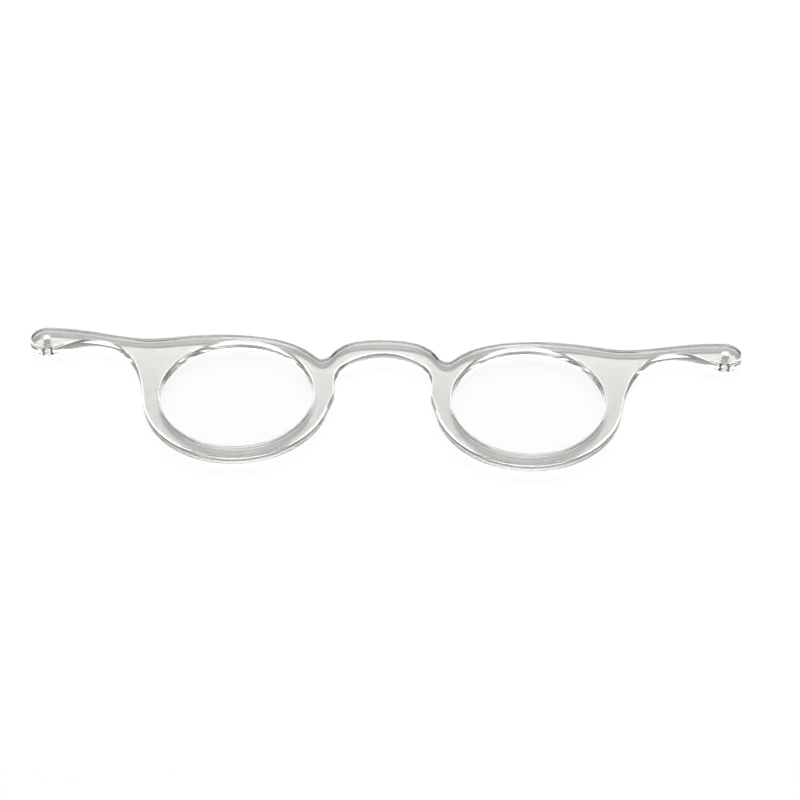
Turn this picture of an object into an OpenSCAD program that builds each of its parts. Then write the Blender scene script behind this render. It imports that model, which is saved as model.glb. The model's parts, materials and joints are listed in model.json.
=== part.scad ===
// Clear one-piece pince-nez: a flat acrylic front with two round rims, a saddle bridge and
// two swept arms whose ends are drilled for a cord. It lies on its back face: X runs across
// the face, Y up the brow and Z out of the front. The origin lies midway between the lens
// centres, on the back face. Left and right are as seen from the front.

/* [Sheet] */
// Thickness of the acrylic sheet that the front is cut from
sheet_t = 2.5; // [2.3:0.1:4]
// Radius that tumbling leaves on every edge of the sheet
edge_r = 0.45; // [0.3:0.05:0.7]

/* [Lenses] */
// Distance between the two lens centres
lens_spacing = 64; // [60:0.5:70]
// Diameter of each round opening
opening_d = 33.7; // [30:0.1:36]
// Depth of the V groove round each opening
groove_depth = 0.3; // [0.25:0.05:0.6]
// Width of the groove where it meets the opening
groove_w = 0.6; // [0.5:0.05:0.8]
// Clearance between the lens edge and the rim
lens_gap = 0.05; // [0.03:0.01:0.1]
// Thickness of a lens at its centre
lens_t = 2; // [1.7:0.1:2.4]
// Radius of both faces of the weak reading lens
lens_face_r = 650; // [400:50:1500]

/* [Rims] */
// Width of a rim round its lower half
rim_w = 3.65; // [3:0.05:4.5]
// Width of a rim under the brow line
brow_w = 2.4; // [2.1:0.05:3.2]
// Distance from a lens centre outwards to the highest point of its brow
brow_shift = 3.2; // [1:0.1:5]
// Width of a rim at the nose, up to the flat that bears on it
nose_rim_w = 4.55; // [4:0.05:5.5]
// Height of the lower end of the nose flat above the lens centres
nose_flat_low = 0.9; // [0:0.1:2]
// Height of the upper end of the nose flat above the lens centres
nose_flat_high = 5.85; // [4.5:0.1:7]
// Hollow of the nose flat towards its upper end
nose_hollow = 0.12; // [0:0.01:0.3]

/* [Bridge] */
// Width of the bridge at its middle
bridge_w = 4.8; // [3.5:0.1:6]
// Rise of the bridge crown above the notches beside it
crown_rise = 6.8; // [5:0.1:8]
// Width of a rim at the notch between brow and bridge
notch_rim_w = 4.6; // [3.8:0.05:6]
// Direction of the notch from the lens centre, above the line to the nose
notch_angle = 33.5; // [28:0.5:38]

/* [Arms] */
// Distance from the outer side of a rim to the cord hole
arm_reach = 23.45; // [20:0.05:30]
// Height of the cord hole above the lens centres
hole_rise = 16.5; // [15:0.1:18]
// Diameter of the round end of an arm
lobe_d = 7.3; // [6:0.1:8.5]
// Diameter of the cord hole
cord_hole_d = 1.7; // [1:0.1:2.2]
// Distance from the outer side of a rim to the lowest point of the arm's top edge
dip_reach = 0.05; // [-1:0.05:2]
// Height of that lowest point above the top of the opening
dip_rise = 0.4; // [0.2:0.05:1.2]
// Distance from the outer side of a rim to the crest of the arm's lower edge
crest_reach = 12.8; // [10:0.1:15]
// Drop from the top edge of the arm's end to the crest of its lower edge
crest_drop = 4.25; // [3.6:0.05:4.8]

/* [Hidden] */
clear_plastic = [0.90, 0.94, 0.92, 0.55];
clear_lens = [0.80, 0.90, 0.98, 0.35];
edge_steps = 4;
face_steps = 10;
past = 1;

centre_x = lens_spacing / 2;
opening_r = opening_d / 2;
rim_r = opening_r + rim_w;
lobe_r = lobe_d / 2;
mid_z = sheet_t / 2;
side_x = centre_x + rim_r;
hole_x = side_x + arm_reach;

// Key points of the right half, clockwise from the crown of the bridge
notch = [centre_x, 0] + (opening_r + notch_rim_w) * [-cos(notch_angle), sin(notch_angle)];
crown = [0, notch.y + crown_rise];
brow = [centre_x + brow_shift, opening_r + brow_w];
dip = [side_x + dip_reach, opening_r + dip_rise];
lobe = [hole_x, hole_rise];
lobe_top = lobe + [0, lobe_r];
lobe_low = lobe - [0, lobe_r];
crest = [side_x + crest_reach, lobe_top.y - crest_drop];
nose_x = centre_x - opening_r - nose_rim_w;
pad_low = [nose_x, nose_flat_low];
pad_high = [nose_x + nose_hollow, nose_flat_high];
arch = [0, crown.y - bridge_w];

// Where the arm's lower edge meets the rim and where the rim meets the nose bump, in degrees
rim_start_angle = -9;
rim_end_angle = -167.5;

// How strongly each curve holds its direction as it leaves one key point and reaches the next
crown_to_notch = [13.35, 3.8];
notch_to_brow = [1.9, 17.7];
brow_to_dip = [7.5, 2.65];
dip_to_lobe = [8.4, 10.4];
lobe_to_crest = [2.35, 4.95];
crest_to_rim = [10.2, 6.4];
rim_to_pad = [4.35, 0.65];
pad_rise = [2.6, 2.4];
pad_to_arch = [4.9, 4.4];

// A point of the outline is [x, y, normal x, normal y], and the outline runs clockwise
function outward(t) = [-t.y, t.x] / norm(t);
function with_normal(p, n) = [p.x, p.y, n.x, n.y];
function bezier_point(p, t) =
    let (s = 1 - t)
    s * s * s * p[0] + 3 * s * s * t * p[1] + 3 * s * t * t * p[2] + t * t * t * p[3];
function bezier_tangent(p, t) =
    let (s = 1 - t)
    s * s * (p[1] - p[0]) + 2 * s * t * (p[2] - p[1]) + t * t * (p[3] - p[2]);
function blend(a, leave, b, arrive, hold, steps) =
    let (p = [a, a + hold[0] * leave, b - hold[1] * arrive, b])
    [for (i = [0 : steps - 1])
        with_normal(bezier_point(p, i / steps), outward(bezier_tangent(p, i / steps)))];
function on_circle(c, r, a) = c + r * [cos(a), sin(a)];
function clockwise(a) = [sin(a), -cos(a)];
function arc(c, r, from, to, steps) =
    [for (i = [0 : steps - 1])
        let (a = from + (to - from) * i / steps)
        with_normal(on_circle(c, r, a), [cos(a), sin(a)])];

// The right half of the outline, from the crown round to the underside of the bridge
right = [1, 0];
left = [-1, 0];
up = [0, 1];
half = let (
        rim_c = [centre_x, 0],
        rim_out = on_circle(rim_c, rim_r, rim_start_angle),
        rim_in = on_circle(rim_c, rim_r, rim_end_angle)
    ) concat(
        blend(crown, right, notch, right, crown_to_notch, 18),
        blend(notch, right, brow, right, notch_to_brow, 18),
        blend(brow, right, dip, right, brow_to_dip, 8),
        blend(dip, right, lobe_top, right, dip_to_lobe, 12),
        arc(lobe, lobe_r, 90, -90, 14),
        blend(lobe_low, left, crest, left, lobe_to_crest, 8),
        blend(crest, left, rim_out, clockwise(rim_start_angle), crest_to_rim, 16),
        arc(rim_c, rim_r, rim_start_angle, rim_end_angle, 34),
        blend(rim_in, clockwise(rim_end_angle), pad_low, up, rim_to_pad, 6),
        blend(pad_low, up, pad_high, up, pad_rise, 4),
        blend(pad_high, up, arch, left, pad_to_arch, 14),
        [with_normal(arch, [0, -1])]
    );
outline = concat(half, [for (i = [len(half) - 2 : -1 : 1])
    with_normal([-half[i].x, half[i].y], [-half[i][2], half[i][3]])]);

// Heights and insets of the loft's levels: a rolled edge, a straight wall, a rolled edge
roll = [for (i = [0 : edge_steps])
    let (a = 90 * i / edge_steps)
    [edge_r * (1 - cos(a)), edge_r * (1 - sin(a))]];
levels = concat(roll, [for (i = [edge_steps : -1 : 0]) [sheet_t - roll[i][0], roll[i][1]]]);

// Splits the clockwise loop of points p into triangles, cutting off one corner at a time
function turn(a, b, c) = (b.x - a.x) * (c.y - a.y) - (b.y - a.y) * (c.x - a.x);
function holds(a, b, c, q) = turn(a, b, q) <= 0 && turn(b, c, q) <= 0 && turn(c, a, q) <= 0;
function free_corner(p, t, loop) =
    turn(p[t[0]], p[t[1]], p[t[2]]) < 0 &&
    len([for (i = loop)
        if (len(search(i, t)) == 0 && holds(p[t[0]], p[t[1]], p[t[2]], p[i])) i]) == 0;
function triangles(p, loop, k = 0, missed = 0, done = []) =
    let (n = len(loop), t = [loop[(k + n - 1) % n], loop[k % n], loop[(k + 1) % n]])
    assert(missed <= n, "The outline crosses itself")
    n == 3 ? concat(done, [loop]) :
    free_corner(p, t, loop) ?
        triangles(p, [for (i = loop) if (i != t[1]) i], k + 1, 0, concat(done, [t])) :
        triangles(p, loop, k + 1, missed + 1, done);

// The uncut front: the outline lofted through the levels, with both faces in triangles
module blank() {
    n = len(outline);
    points = [for (l = levels) for (p = outline) [p.x - l[1] * p[2], p.y - l[1] * p[3], l[0]]];
    walls = [for (k = [0 : len(levels) - 2]) for (i = [0 : n - 1])
        let (j = (i + 1) % n) [k * n + i, k * n + j, (k + 1) * n + j, (k + 1) * n + i]];
    face = triangles([for (i = [0 : n - 1]) [points[i].x, points[i].y]], [for (i = [0 : n - 1]) i]);
    back = [for (t = face) [t[2], t[1], t[0]]];
    front = [for (t = face) [for (i = t) i + (len(levels) - 1) * n]];
    polyhedron(points, concat(walls, back, front));
}

// What one opening removes: its bore, both rolled edges and the lens groove. Each rolled
// edge runs on past its face at the slope of its last step.
module opening_cut() {
    lip = 2 * [opening_r + roll[0][1], roll[0][0]] - [opening_r + roll[1][1], roll[1][0]];
    lower = [for (i = [1 : edge_steps]) [opening_r + roll[i][1], roll[i][0]]];
    groove = [
        [opening_r, mid_z - groove_w / 2],
        [opening_r + groove_depth, mid_z],
        [opening_r, mid_z + groove_w / 2]
    ];
    upper = [for (i = [edge_steps - 1 : -1 : 0]) [lower[i].x, sheet_t - lower[i].y]];
    rotate_extrude($fn = 120)
        polygon(concat([[0, -past], [lip.x, -past], lip], lower, groove, upper,
            [[lip.x, sheet_t - lip.y], [lip.x, sheet_t + past], [0, sheet_t + past]]));
}

module frame() {
    color(clear_plastic)
        difference() {
            blank();
            for (side = [-1, 1]) {
                translate([side * centre_x, 0, 0]) opening_cut();
                translate([side * hole_x, hole_rise, -past])
                    cylinder(d = cord_hole_d, h = sheet_t + 2 * past, $fn = 48);
            }
        }
}

// A biconvex lens whose bevelled edge stands in the groove of the rim
module lens(side) {
    lens_r = opening_r - lens_gap;
    bevel_half = groove_w / 2 - lens_gap;
    bevel_r = lens_r + bevel_half * groove_depth / (groove_w / 2);
    face = [for (i = [0 : face_steps])
        let (r = lens_r * i / face_steps)
        [r, lens_t / 2 - lens_face_r + sqrt(lens_face_r * lens_face_r - r * r)]];
    bevel = [[lens_r, bevel_half], [bevel_r, 0], [lens_r, -bevel_half]];
    color(clear_lens)
        translate([side * centre_x, 0, mid_z])
            rotate_extrude($fn = 120)
                polygon(concat(face, bevel, [for (i = [face_steps : -1 : 0]) [face[i].x, -face[i].y]]));
}

module lens_left() { lens(-1); }
module lens_right() { lens(1); }

frame();
lens_left();
lens_right();
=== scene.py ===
# %% [markdown]
# # A clear pince-nez: from a pen-tool outline to polished acrylic
# The object is a small pair of eyeglasses with no temples. Its front is cut from one sheet of
# clear acrylic, tumbled until every edge is round, and fitted with two round lenses. Nothing
# on it moves. What makes it hard to render is that it is almost invisible: all that the eye
# gets is how its edges bend the light. So this lesson spends its care on two things, the
# exact shape of the edge and what stands round the object for the edge to bend.

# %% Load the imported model
import json
import math

import bmesh
import bpy
from mathutils import Matrix, Vector


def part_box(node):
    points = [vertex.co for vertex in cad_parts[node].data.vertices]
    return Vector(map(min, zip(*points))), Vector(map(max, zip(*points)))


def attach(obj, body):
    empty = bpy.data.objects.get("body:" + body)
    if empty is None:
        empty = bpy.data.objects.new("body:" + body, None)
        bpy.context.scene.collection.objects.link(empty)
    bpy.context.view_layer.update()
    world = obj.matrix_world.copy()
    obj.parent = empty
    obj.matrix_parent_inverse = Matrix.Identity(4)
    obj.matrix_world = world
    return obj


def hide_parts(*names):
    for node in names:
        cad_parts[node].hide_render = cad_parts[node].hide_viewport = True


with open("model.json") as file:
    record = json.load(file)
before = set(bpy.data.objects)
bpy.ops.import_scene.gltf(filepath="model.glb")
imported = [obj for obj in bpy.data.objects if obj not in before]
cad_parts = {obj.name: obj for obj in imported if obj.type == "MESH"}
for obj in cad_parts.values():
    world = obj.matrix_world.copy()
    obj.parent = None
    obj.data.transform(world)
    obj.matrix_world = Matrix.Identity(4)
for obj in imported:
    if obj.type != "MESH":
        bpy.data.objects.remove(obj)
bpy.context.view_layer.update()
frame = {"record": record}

# %% [markdown]
# ## Sizes
# Blender works in metres and a maker of eyeglasses in millimetres, so every size is written
# in millimetres and multiplied by MM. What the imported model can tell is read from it: the
# sheet's thickness, where the lenses stand and where the cord holes are. The rest of the
# outline's sizes are named here, as a drawing of the front would name them.

# %% Sizes read from the model
MM = 0.001
front_low, front_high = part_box("frame")
lens_low, lens_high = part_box("lens_right")
mounts = {m["name"]: m for m in frame["record"]["mounts"]}

sheet_t = front_high.z - front_low.z
lens_x = (lens_low.x + lens_high.x) / 2
lens_tip_r = (lens_high.x - lens_low.x) / 2
lens_t = lens_high.z - lens_low.z
hole_x, hole_y, _ = mounts["cord_hole_right"]["pos_m"]
hole_r = mounts["cord_hole_right"]["dims"]["r_mm"] * MM
lobe_r = front_high.x - hole_x
print(f"sheet {sheet_t / MM:.2f} mm thick, lens centres {2 * lens_x / MM:.1f} mm apart")

# %% Sizes of the drawing
EDGE_R = 0.45 * MM
OPENING_R = 16.85 * MM
RIM_W = 3.65 * MM
BROW_W = 2.4 * MM
BROW_SHIFT = 3.2 * MM
NOTCH_RIM_W = 4.6 * MM
NOTCH_ANGLE = 33.5
CROWN_RISE = 6.8 * MM
BRIDGE_W = 4.8 * MM
DIP_REACH = 0.05 * MM
DIP_RISE = 0.4 * MM
CREST_REACH = 12.8 * MM
CREST_DROP = 4.25 * MM
NOSE_RIM_W = 4.55 * MM
NOSE_FLAT_LOW = 0.9 * MM
NOSE_FLAT_HIGH = 5.85 * MM
NOSE_HOLLOW = 0.12 * MM
GROOVE_W = 0.6 * MM
GROOVE_DEPTH = 0.3 * MM
LENS_GAP = 0.05 * MM
LENS_FACE_R = 650 * MM
rim_r = OPENING_R + RIM_W

# %% [markdown]
# ## Helpers
# Node trees are built by hand in this lesson, so one small function adds a node, sets its
# properties and fills its inputs. An input takes a plain value or another node's output.
# Colours are written as they look on a screen, in sRGB hex, and turned to linear once. The
# third function puts a mesh, a lamp or the camera into the scene, at the origin.

# %% Adding a node, reading a colour, placing an object
def add(tree, kind, inputs=None, **settings):
    made = tree.nodes.new(kind)
    for name, value in settings.items():
        setattr(made, name, value)
    for socket, value in (inputs or {}).items():
        if isinstance(value, bpy.types.Node):
            value = value.outputs[0]
        if isinstance(value, bpy.types.NodeSocket):
            tree.links.new(value, made.inputs[socket])
        else:
            made.inputs[socket].default_value = value
    return made


def linear(hex_colour):
    channels = [int(hex_colour[i:i + 2], 16) / 255 for i in (1, 3, 5)]
    return [c / 12.92 if c <= 0.04045 else ((c + 0.055) / 1.055) ** 2.4 for c in channels] + [1]


def place(name, data):
    made = bpy.data.objects.new(name, data)
    bpy.context.scene.collection.objects.link(made)
    return made


# %% [markdown]
# ## The camera
# The photograph was taken from the wearer's chin side, looking down at the front as it lies
# on its back. A long lens keeps it nearly free of perspective. The camera stands on an arc:
# first it is tipped down and turned a little, then moved back along its own axis, with a
# small offset that puts the object where the photograph has it.

# %% Camera
LOOK_DOWN = 42.77
TURN = 1.814
ROLL = 0.173
DISTANCE = 581.98 * MM
AIM_RIGHT = 3.893 * MM
AIM_UP = 0.894 * MM
FOCAL_MM = 119.25
SENSOR_MM = 36
CLIP_START = 10 * MM

tip_up = Matrix.Rotation(math.radians(90 - LOOK_DOWN), 4, "X")
view = Matrix.Rotation(math.radians(TURN), 4, "Z") @ tip_up
camera = bpy.data.cameras.new("camera")
camera.lens = FOCAL_MM
camera.sensor_width = SENSOR_MM
camera.clip_start = CLIP_START
camera_object = place("camera", camera)
camera_object.matrix_world = (
    Matrix.Translation(view @ Vector((AIM_RIGHT, AIM_UP, DISTANCE)))
    @ view
    @ Matrix.Rotation(math.radians(ROLL), 4, "Z")
)
bpy.context.scene.camera = camera_object
print(f"camera {DISTANCE / MM:.0f} mm away, looking down at {LOOK_DOWN:.1f} degrees")

# %% [markdown]
# ## The outline, as a pen tool draws it
# A pen-tool curve needs few knots if each stands where the real outline turns level or upright:
# the crown of the bridge, the notch beside it, the top of the brow, the dip at the arm's
# root, the round lobe, the crest under the arm, and so on round the rim to the nose. At each
# knot the curve runs in one heading, and two holds say how long it keeps that heading before
# and after the knot. Two knots on a circle follow it if their holds suit the angle between
# them: for a quarter circle that is 0.5523 of the radius. Only the right half is written. The
# left half is the same knots mirrored, in reverse.

# %% Knots of the right half, clockwise from the crown
RIGHT, DOWN, LEFT, UP = 0, -90, 180, 90
RIM_START = -9
RIM_END = -167.5
rim_turn = (RIM_START - RIM_END) / 2


def circle_hold(turn, radius):
    return 4 / 3 * math.tan(math.radians(turn / 4)) * radius


def on_circle(centre, radius, angle):
    angle = math.radians(angle)
    return Vector(centre) + radius * Vector((math.cos(angle), math.sin(angle)))


lobe_hold = circle_hold(90, lobe_r)
rim_hold = circle_hold(rim_turn, rim_r)
lens_centre = (lens_x, 0)
notch = on_circle(lens_centre, OPENING_R + NOTCH_RIM_W, 180 - NOTCH_ANGLE)
crown_y = notch.y + CROWN_RISE
lobe_top = hole_y + lobe_r
nose_x = lens_x - OPENING_R - NOSE_RIM_W
dip_x = lens_x + rim_r + DIP_REACH
crest_x = lens_x + rim_r + CREST_REACH
rim_low = RIM_START - rim_turn

# Each knot: its place, its heading in degrees, and its holds before and after, in metres
knots = [
    ((0, crown_y), RIGHT, 13.35 * MM, 13.35 * MM),
    (notch, RIGHT, 3.8 * MM, 1.9 * MM),
    ((lens_x + BROW_SHIFT, OPENING_R + BROW_W), RIGHT, 17.7 * MM, 7.5 * MM),
    ((dip_x, OPENING_R + DIP_RISE), RIGHT, 2.65 * MM, 8.4 * MM),
    ((hole_x, lobe_top), RIGHT, 10.4 * MM, lobe_hold),
    ((hole_x + lobe_r, hole_y), DOWN, lobe_hold, lobe_hold),
    ((hole_x, hole_y - lobe_r), LEFT, lobe_hold, 2.35 * MM),
    ((crest_x, lobe_top - CREST_DROP), LEFT, 4.95 * MM, 10.2 * MM),
    (on_circle(lens_centre, rim_r, RIM_START), RIM_START - 90, 6.4 * MM, rim_hold),
    (on_circle(lens_centre, rim_r, rim_low), rim_low - 90, rim_hold, rim_hold),
    (on_circle(lens_centre, rim_r, RIM_END), RIM_END - 90, rim_hold, 4.35 * MM),
    ((nose_x, NOSE_FLAT_LOW), UP, 0.65 * MM, 2.6 * MM),
    ((nose_x + NOSE_HOLLOW, NOSE_FLAT_HIGH), UP, 2.4 * MM, 4.9 * MM),
    ((0, crown_y - BRIDGE_W), LEFT, 4.4 * MM, 4.4 * MM),
]

# %% Mirror the knots and draw the closed curve
CURVE_STEPS = 128
mirrored = [
    ((-place_x, place_y), -heading, after, before)
    for (place_x, place_y), heading, before, after in reversed(knots[1:-1])
]
outline = bpy.data.curves.new("front_outline", "CURVE")
outline.resolution_u = CURVE_STEPS
spline = outline.splines.new("BEZIER")
spline.bezier_points.add(len(knots + mirrored) - 1)
spline.use_cyclic_u = True
for point, ((x, y), heading, before, after) in zip(spline.bezier_points, knots + mirrored):
    ahead = Vector((math.cos(math.radians(heading)), math.sin(math.radians(heading)), 0))
    point.handle_left_type = point.handle_right_type = "FREE"
    point.co = (x, y, 0)
    point.handle_left = point.co - before * ahead
    point.handle_right = point.co + after * ahead
print(len(spline.bezier_points), "knots draw the whole front")

# %% [markdown]
# ## Cutting and rolling the sheet with Geometry Nodes
# The front could be extruded and bevelled, but a bevel on a curved outline with this much
# rounding leaves uneven faces, and clear plastic shows every one of them. Instead the edge
# itself is drawn once, as a profile that runs up the side of the sheet: in from the back face,
# round, up the wall, round, and onto the front face. Curve to Mesh sweeps that profile along
# the outline. Fill Curve closes both faces, and welding the seams makes one solid. The same
# three nodes make the lens openings, whose profile also has the V groove that the lens snaps
# into, and the cord holes, whose profile is a straight line.
# A curve's normal, turned to Z Up, points to the right of its travel. The outline runs
# clockwise and the circles the other way, so on each of them right means into the plastic.

# %% The tree and its named inputs
SIZES = {
    "Thickness": sheet_t,
    "Edge radius": EDGE_R,
    "Edge steps": 10,
    "Outline points": 1300,
    "Lens reach": lens_x,
    "Opening radius": OPENING_R,
    "Opening points": 480,
    "Groove width": GROOVE_W,
    "Groove depth": GROOVE_DEPTH,
    "Hole reach": hole_x,
    "Hole rise": hole_y,
    "Hole radius": hole_r,
    "Hole points": 64,
}
tree = bpy.data.node_groups.new("rolled_sheet", "GeometryNodeTree")
tree.interface.new_socket("Outline", in_out="INPUT", socket_type="NodeSocketGeometry")
for name, value in SIZES.items():
    kind = "NodeSocketInt" if isinstance(value, int) else "NodeSocketFloat"
    tree.interface.new_socket(name, in_out="INPUT", socket_type=kind)
tree.interface.new_socket("Material", in_out="INPUT", socket_type="NodeSocketMaterial")
tree.interface.new_socket("Front", in_out="OUTPUT", socket_type="NodeSocketGeometry")
given = add(tree, "NodeGroupInput").outputs


def math_node(operation, a, b):
    return add(tree, "ShaderNodeMath", {0: a, 1: b}, operation=operation)


def corner(inset, height):
    """The sweep takes a profile's X into the plastic and its Y down, so height is turned over."""
    return add(tree, "ShaderNodeCombineXYZ", {"X": inset, "Y": math_node("MULTIPLY", height, -1)})


# %% Profiles: an open line through given corners, with some of them rounded
def profile(corners, rounded):
    line = add(tree, "GeometryNodeCurvePrimitiveLine")
    cut = add(tree, "GeometryNodeSubdivideCurve", {"Curve": line, "Cuts": len(corners) - 2})
    index = add(tree, "GeometryNodeInputIndex")
    where = add(tree, "GeometryNodeIndexSwitch", data_type="VECTOR")
    radius = add(tree, "GeometryNodeIndexSwitch", data_type="FLOAT")
    for switch in (where, radius):
        while len(switch.index_switch_items) < len(corners):
            switch.index_switch_items.new()
        tree.links.new(index.outputs[0], switch.inputs["Index"])
    for i, point in enumerate(corners):
        tree.links.new(point.outputs[0], where.inputs[str(i)])
        if i in rounded:
            tree.links.new(given["Edge radius"], radius.inputs[str(i)])
    moved = add(tree, "GeometryNodeSetPosition", {"Geometry": cut, "Position": where})
    return add(tree, "GeometryNodeFilletCurve",
               {"Curve": moved, "Count": given["Edge steps"], "Radius": radius}, mode="POLY")


thickness, edge_radius = given["Thickness"], given["Edge radius"]
middle = math_node("MULTIPLY", thickness, 0.5)
half_groove = math_node("MULTIPLY", given["Groove width"], 0.5)
rolled_profile = profile(
    [corner(edge_radius, 0), corner(0, 0), corner(0, thickness), corner(edge_radius, thickness)],
    rounded=(1, 2),
)
grooved_profile = profile(
    [
        corner(edge_radius, 0),
        corner(0, 0),
        corner(0, math_node("SUBTRACT", middle, half_groove)),
        corner(given["Groove depth"], middle),
        corner(0, math_node("ADD", middle, half_groove)),
        corner(0, thickness),
        corner(edge_radius, thickness),
    ],
    rounded=(1, 5),
)
straight_profile = add(tree, "GeometryNodeCurvePrimitiveLine", {"End": corner(0, thickness)})

# %% Paths: the outline resampled evenly, and a pair of circles for openings and for holes
def level(curve):
    """Turns a curve's normals to lie in the sheet, so that they point into the plastic."""
    return add(tree, "GeometryNodeSetCurveNormal", {"Curve": curve}, mode="Z_UP")


def circle_pair(radius, points, reach, rise):
    circle = add(tree, "GeometryNodeCurvePrimitiveCircle",
                 {"Radius": radius, "Resolution": points})
    both = add(tree, "GeometryNodeJoinGeometry")
    for side in (-1, 1):
        centre = add(tree, "ShaderNodeCombineXYZ",
                     {"X": math_node("MULTIPLY", reach, side), "Y": rise})
        moved = add(tree, "GeometryNodeTransform", {"Geometry": circle, "Translation": centre})
        tree.links.new(moved.outputs[0], both.inputs[0])
    return level(both)


even = add(tree, "GeometryNodeResampleCurve",
           {"Curve": given["Outline"], "Count": given["Outline points"]})
outline_path = level(even)
opening_paths = circle_pair(
    given["Opening radius"], given["Opening points"], given["Lens reach"], 0.0)
hole_paths = circle_pair(
    given["Hole radius"], given["Hole points"], given["Hole reach"], given["Hole rise"])

# %% Walls: each path swept with its profile
walls = add(tree, "GeometryNodeJoinGeometry")
for path, edge in ((outline_path, rolled_profile), (opening_paths, grooved_profile),
                   (hole_paths, straight_profile)):
    swept = add(tree, "GeometryNodeCurveToMesh", {"Curve": path, "Profile Curve": edge})
    tree.links.new(swept.outputs[0], walls.inputs[0])
smooth_walls = add(tree, "GeometryNodeSetShadeSmooth", {"Geometry": walls, "Shade Smooth": True})

# %% Faces: the paths, drawn in by the edge radius and filled
normal = add(tree, "GeometryNodeInputNormal")
inward = add(tree, "ShaderNodeVectorMath", {0: normal, "Scale": edge_radius}, operation="SCALE")
borders = add(tree, "GeometryNodeJoinGeometry")
for path in (outline_path, opening_paths):
    drawn_in = add(tree, "GeometryNodeSetPosition", {"Geometry": path, "Offset": inward})
    tree.links.new(drawn_in.outputs[0], borders.inputs[0])
tree.links.new(hole_paths.outputs[0], borders.inputs[0])
filled = add(tree, "GeometryNodeFillCurve", {"Curve": borders}, mode="TRIANGLES")
flat = add(tree, "GeometryNodeSetShadeSmooth", {"Geometry": filled, "Shade Smooth": False})
up = add(tree, "ShaderNodeCombineXYZ", {"Z": thickness})
front_face = add(tree, "GeometryNodeTransform", {"Geometry": flat, "Translation": up})
back_face = add(tree, "GeometryNodeFlipFaces", {"Mesh": flat})

# %% Weld the seams, keep the groove's corners crisp, and hand over a plain mesh
WELD = 0.001 * MM
CRISP = math.radians(35)
joined = add(tree, "GeometryNodeJoinGeometry")
for part in (smooth_walls, front_face, back_face):
    tree.links.new(part.outputs[0], joined.inputs[0])
welded = add(tree, "GeometryNodeMergeByDistance", {"Geometry": joined, "Distance": WELD})
angle = add(tree, "GeometryNodeInputMeshEdgeAngle")
sharp = math_node("GREATER_THAN", angle.outputs["Unsigned Angle"], CRISP)
creased = add(tree, "GeometryNodeSetShadeSmooth",
              {"Geometry": welded, "Selection": sharp, "Shade Smooth": False}, domain="EDGE")
real = add(tree, "GeometryNodeRealizeInstances", {"Geometry": creased})
painted = add(tree, "GeometryNodeSetMaterial", {"Geometry": real, "Material": given["Material"]})
add(tree, "NodeGroupOutput", {0: painted})
print(len(tree.nodes), "nodes cut and roll the sheet")

# %% [markdown]
# ## Cast acrylic, tumble-polished
# Acrylic (PMMA) is clearer than window glass and bends light less, with an index of 1.49. Cast
# sheet has a faint warm green cast that shows most where one looks a long way through it, so
# it goes into the volume, as absorption, and not into the surface colour. Tumbling in ever
# finer grit rounds the edges and leaves a gloss that is not quite optical. It has a fine haze,
# which is the roughness here, and a slow ripple, a few millimetres from crest to crest. A
# noise bump gives the edge lines that slight wander.

# %% Material: cast acrylic
RIPPLE = 3.0 * MM
RIPPLE_HEIGHT = 0.002 * MM
HAZE = 0.12
ACRYLIC_IOR = 1.49
# The cast, and how strongly a metre of plastic takes light away
TINT = "#b1bc9e"
TINT_DENSITY = 50.0
acrylic = bpy.data.materials.new("cast_acrylic_tumble_polished")
acrylic.use_nodes = True
nodes = acrylic.node_tree
surface = nodes.nodes["Principled BSDF"]
place_on_piece = add(nodes, "ShaderNodeTexCoord")
ripple = add(nodes, "ShaderNodeTexNoise", {
    "Vector": place_on_piece.outputs["Object"],
    "Scale": 1 / RIPPLE,
    "Detail": 2.0,
    "Roughness": 0.5,
})
bump = add(nodes, "ShaderNodeBump", {"Height": ripple, "Distance": RIPPLE_HEIGHT, "Strength": 1.0})
nodes.links.new(bump.outputs["Normal"], surface.inputs["Normal"])
surface.inputs["Base Color"].default_value = linear("#ffffff")
surface.inputs["Roughness"].default_value = HAZE
surface.inputs["IOR"].default_value = ACRYLIC_IOR
surface.inputs["Transmission Weight"].default_value = 1.0
tint = add(nodes, "ShaderNodeVolumeAbsorption", {"Color": linear(TINT), "Density": TINT_DENSITY})
nodes.links.new(tint.outputs[0], nodes.nodes["Material Output"].inputs["Volume"])
kept = [math.exp(-TINT_DENSITY * (1 - c) * sheet_t) for c in linear(TINT)[:3]]
print("light that the sheet lets through, red to blue:", [round(k, 3) for k in kept])

# %% Make the front
base = place("front_outline", outline)
modifier = base.modifiers.new("rolled_sheet", "NODES")
modifier.node_group = tree
for item in tree.interface.items_tree:
    if item.in_out == "INPUT" and item.name in SIZES:
        modifier[item.identifier] = SIZES[item.name]
    elif item.name == "Material":
        modifier[item.identifier] = acrylic
evaluated = base.evaluated_get(bpy.context.evaluated_depsgraph_get())
front_mesh = bpy.data.meshes.new_from_object(evaluated)
bpy.data.objects.remove(base)
front_mesh.name = "acrylic_front"
front = place("acrylic_front", front_mesh)
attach(front, "root")
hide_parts("frame")


def describe(mesh):
    """Prints triangles, open edges and volume, which is negative if the mesh is inside out."""
    work = bmesh.new()
    work.from_mesh(mesh)
    open_edges = sum(1 for e in work.edges if len(e.link_faces) != 2)
    volume = work.calc_volume(signed=True) / MM ** 3
    triangles = sum(len(f.verts) - 2 for f in work.faces)
    work.free()
    print(f"{mesh.name}: {triangles} triangles, {open_edges} open edges, {volume:.0f} mm3")


describe(front_mesh)

# %% [markdown]
# ## The lenses
# A lens for reading is a disc with two faint domes, and its edge is ground to a V that snaps
# into the rim's groove. It is a turned shape, so one half of its section is drawn and spun.
# The domes are arcs of a very large circle: 650 mm for a weak reading lens.

# %% Spin a lens
FACE_STEPS = 16
TURN_STEPS = 240


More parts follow.
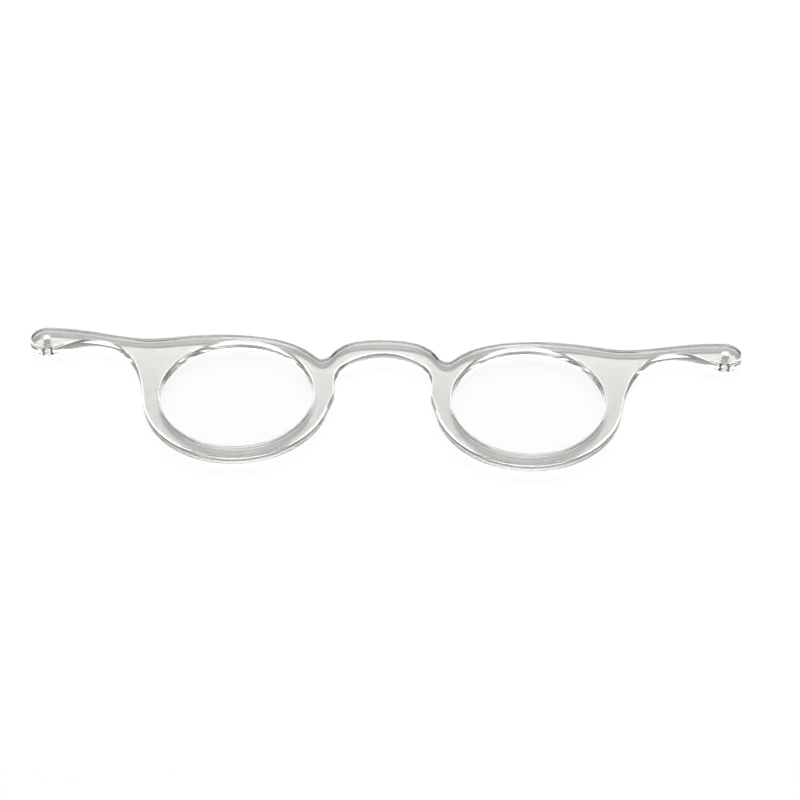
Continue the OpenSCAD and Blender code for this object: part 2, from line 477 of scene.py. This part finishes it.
def lens_section():
    radius = OPENING_R - LENS_GAP
    half_bevel = GROOVE_W / 2 - LENS_GAP

    def dome(r):
        return lens_t / 2 - LENS_FACE_R + math.sqrt(LENS_FACE_R ** 2 - r ** 2)

    face = [(radius * i / FACE_STEPS, dome(radius * i / FACE_STEPS)) for i in range(FACE_STEPS + 1)]
    bevel = [(radius, half_bevel), (lens_tip_r, 0), (radius, -half_bevel)]
    return face + bevel + [(r, -z) for r, z in reversed(face)]


def spun(name, section, centre, material):
    work = bmesh.new()
    points = [work.verts.new((r, 0, z)) for r, z in section]
    edges = [work.edges.new(pair) for pair in zip(points, points[1:])]
    bmesh.ops.spin(work, geom=points + edges, cent=(0, 0, 0), axis=(0, 0, 1),
                   angle=2 * math.pi, steps=TURN_STEPS, use_merge=True)
    bmesh.ops.remove_doubles(work, verts=work.verts, dist=WELD)
    bmesh.ops.recalc_face_normals(work, faces=work.faces)
    for face in work.faces:
        face.smooth = True
    for edge in work.edges:
        edge.smooth = edge.calc_face_angle(0) < CRISP
    bmesh.ops.translate(work, verts=work.verts, vec=centre)
    mesh = bpy.data.meshes.new(name)
    work.to_mesh(mesh)
    work.free()
    mesh.materials.append(material)
    describe(mesh)
    return place(name, mesh)


# %% [markdown]
# ## Coated lens plastic
# Lenses like these are cast in a hard clear resin, with a coating against glare. Seen
# from the front such a lens is hardly there. Only a trace of reflection gives it away, so most
# of it is let through unchanged and a small share is gloss.

# %% Material: lens
LENS_ROUGHNESS = 0.02
LENS_IOR = 1.5
GLOSS_SHARE = 0.04
lens_plastic = bpy.data.materials.new("coated_lens_resin")
lens_plastic.use_nodes = True
clear = lens_plastic.node_tree.nodes["Principled BSDF"]
clear.inputs["Base Color"].default_value = linear("#f4fbff")
clear.inputs["Roughness"].default_value = LENS_ROUGHNESS
clear.inputs["IOR"].default_value = LENS_IOR
clear.inputs["Transmission Weight"].default_value = 1.0
clear.inputs["Alpha"].default_value = GLOSS_SHARE

# %% Make both lenses
for side, name in ((-1, "lens_left"), (1, "lens_right")):
    centre = Vector((side * lens_x, 0, (lens_low.z + lens_high.z) / 2))
    lens = spun("reading_" + name, lens_section(), centre, lens_plastic)
    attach(lens, "root")
    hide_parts(name)

# %% [markdown]
# ## A satin table, with lamps behind it, overhead and on the near side
# Clear plastic shows its surroundings and little else. In a room that is white all round it
# would vanish. Here it lies on a satin white table with a strong low lamp behind it and a weak
# one overhead, and the room on the camera's side stays dim. The flat faces show the bright table.
# A rolled edge bends the view aside, to the dim room or to a strip of table that the edge
# itself keeps dark, and that draws the outline. Low light also leaves the table dark under
# the near side of each rim, because it enters by the opening's wall and is mirrored along
# inside the sheet: that is the dark crescent low on each ring. The satin finish sends light
# on in a narrow cone, so these lines stay crisp, where a matt table would blur them.
# The gap between the low lamp and the one overhead matters too. Light that is mirrored along
# inside the sheet leaves the far side as steeply as the camera looks down, and a lamp at that
# height would fill every wall that faces the camera with glare.
# The lamp overhead and a weak one on the near side light the table for the other views: without
# them the flat faces would look like smoked plastic from above and from behind.
# The camera sees the bare table as plain white, as in a photograph that is exposed for the
# object, with a little of the real table mixed in so that it keeps the object's shadow. The
# plastic shows a smaller share of that white, so that it stays clear from every side.

# %% Table
TABLE_HALF = 1.5
TABLE_GAP = 0.02 * MM
table_mesh = bpy.data.meshes.new("table")
around = [(-1, -1), (1, -1), (1, 1), (-1, 1)]
corners = [(x * TABLE_HALF, y * TABLE_HALF, -TABLE_GAP) for x, y in around]
table_mesh.from_pydata(corners, [], [(0, 1, 2, 3)])
table = place("table", table_mesh)
print(f"table {2 * TABLE_HALF:.0f} m wide, {TABLE_GAP / MM} mm under the back face")

# %% Material: satin for the lamps' light, white for the camera
TABLE_ROUGHNESS = 0.5
# The share of plain white that the camera sees, and that the plastic shows
SEEN_WHITE = 0.94
SHOWN_WHITE = 0.15
table_paint = bpy.data.materials.new("satin_white_table")
table_paint.use_nodes = True
nodes = table_paint.node_tree
nodes.nodes.clear()
rays = add(nodes, "ShaderNodeLightPath")
seen = add(nodes, "ShaderNodeMath",
           {0: rays.outputs["Is Camera Ray"], 1: SEEN_WHITE}, operation="MULTIPLY")
bent = add(nodes, "ShaderNodeMath", {
    0: rays.outputs["Is Transmission Ray"],
    1: rays.outputs["Is Glossy Ray"],
}, operation="MAXIMUM")
shown = add(nodes, "ShaderNodeMath", {0: bent, 1: SHOWN_WHITE}, operation="MULTIPLY")
share = add(nodes, "ShaderNodeMath", {0: seen, 1: shown}, operation="MAXIMUM")
satin = add(nodes, "ShaderNodeBsdfAnisotropic",
            {"Color": linear("#f0f0f0"), "Roughness": TABLE_ROUGHNESS})
white = add(nodes, "ShaderNodeEmission", {"Strength": 1.0})
mixed = add(nodes, "ShaderNodeMixShader", {0: share, 1: satin, 2: white})
add(nodes, "ShaderNodeOutputMaterial", {"Surface": mixed})
table_mesh.materials.append(table_paint)

# %% Lamps round the object, each facing it
LAMP_DISTANCE = 1.0
# Each lamp: its angle from the far horizon over the top in degrees, its width and height in
# metres, its watts
LAMPS = {
    "low_lamp": (30, (2.2, 0.3), 10.3),
    "top_lamp": (88, (1.0, 0.5), 3.1),
    "near_lamp": (152, (2.2, 0.3), 3.5),
}
for name, (angle, (width, height), watts) in LAMPS.items():
    lamp = bpy.data.lights.new(name, "AREA")
    lamp.shape = "RECTANGLE"
    lamp.size, lamp.size_y = width, height
    lamp.energy = watts
    angle = math.radians(angle)
    spot = LAMP_DISTANCE * Vector((0, math.cos(angle), math.sin(angle)))
    lamp_object = place(name, lamp)
    lamp_object.location = spot
    lamp_object.rotation_euler = (-spot).to_track_quat("-Z", "Y").to_euler()
    print(f"{name}: {watts} W from {width * height:.2f} m2")

# %% The room: dim for the object, plain white for the camera
ROOM = 0.25
world = bpy.data.worlds.new("room")
bpy.context.scene.world = world
world.use_nodes = True
nodes = world.node_tree
room = nodes.nodes["Background"]
rays = add(nodes, "ShaderNodeLightPath")
bright = add(nodes, "ShaderNodeMix", {
    "Factor": rays.outputs["Is Camera Ray"],
    "A": ROOM,
    "B": 1.0,
}, data_type="FLOAT")
nodes.links.new(bright.outputs[0], room.inputs["Strength"])
room.inputs["Color"].default_value = linear("#ffffff")
bpy.context.scene.view_settings.view_transform = "Standard"
print(f"the object sees a room at {ROOM} of white")
